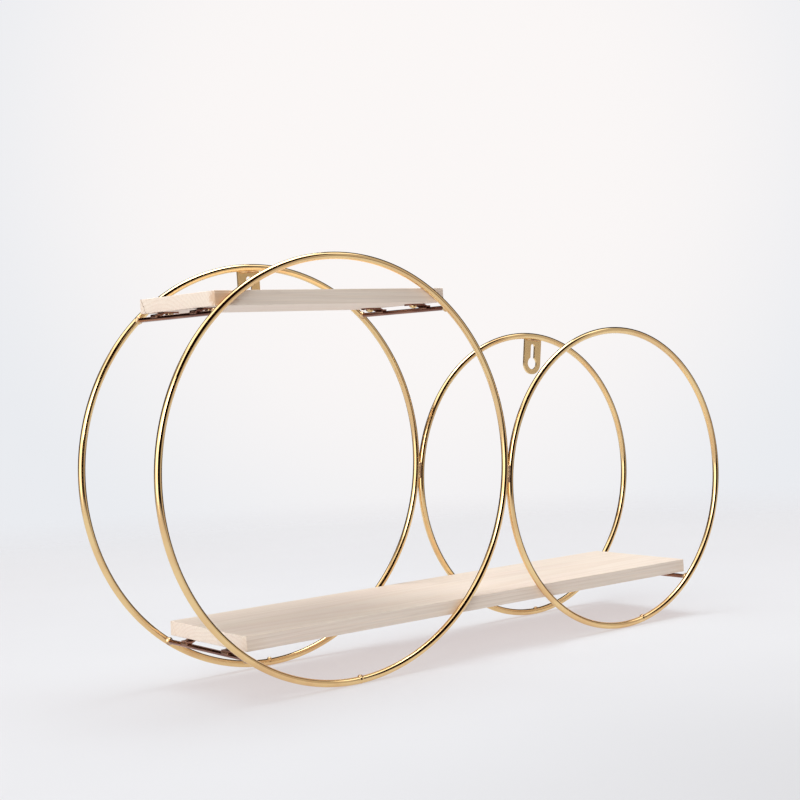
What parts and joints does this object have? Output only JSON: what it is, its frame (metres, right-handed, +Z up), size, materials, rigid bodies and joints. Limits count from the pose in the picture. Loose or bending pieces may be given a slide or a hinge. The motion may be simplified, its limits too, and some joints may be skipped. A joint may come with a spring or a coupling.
{
  "type": "double-ring wall shelf",
  "caption": "Wall shelf of gold wire rings in front and back pairs, large beside small, tied by short crossbars, with pale wooden boards between the ring planes and keyhole hangers.",
  "frame": {"origin": "on the standing surface, under the middle of the shelf's length and depth", "axes": "+X from the large rings to the small rings, +Y to the wall, +Z up"},
  "size_m": [0.6302, 0.13, 0.35],
  "materials": {
    "gold_plating": "polished gold plating on steel wire and strip",
    "plated_weld": "gold plating over weld metal, slightly uneven",
    "screw_plating": "yellow plated screw",
    "pale_wood": "sanded pale wood, straight grain along the board"
  },
  "bodies": {
    "root": {"back_large_ring": "gold_plating", "back_large_ring_butt_weld": "plated_weld", "back_ring_joint_weld": "plated_weld", "back_small_ring": "gold_plating", "back_small_ring_butt_weld": "plated_weld", "front_large_ring": "gold_plating", "front_large_ring_butt_weld": "plated_weld", "front_ring_joint_weld": "plated_weld", "front_small_ring": "gold_plating", "front_small_ring_butt_weld": "plated_weld", "large_ring_hanger": "gold_plating", "large_ring_hanger_weld": "plated_weld", "lower_board": "pale_wood", "lower_board_screws": "screw_plating", "lower_left_back_tab": "gold_plating", "lower_left_crossbar": "gold_plating", "lower_left_crossbar_welds": "plated_weld", "lower_left_front_tab": "gold_plating", "lower_left_tab_welds": "plated_weld", "lower_right_back_tab": "gold_plating", "lower_right_crossbar": "gold_plating", "lower_right_crossbar_welds": "plated_weld", "lower_right_front_tab": "gold_plating", "lower_right_tab_welds": "plated_weld", "small_ring_hanger": "gold_plating", "small_ring_hanger_weld": "plated_weld", "upper_board": "pale_wood", "upper_board_screws": "screw_plating", "upper_left_back_tab": "gold_plating", "upper_left_crossbar": "gold_plating", "upper_left_crossbar_welds": "plated_weld", "upper_left_front_tab": "gold_plating", "upper_left_tab_welds": "plated_weld", "upper_right_back_tab": "gold_plating", "upper_right_crossbar": "gold_plating", "upper_right_crossbar_welds": "plated_weld", "upper_right_front_tab": "gold_plating", "upper_right_tab_welds": "plated_weld"}
  },
  "joints": []
}
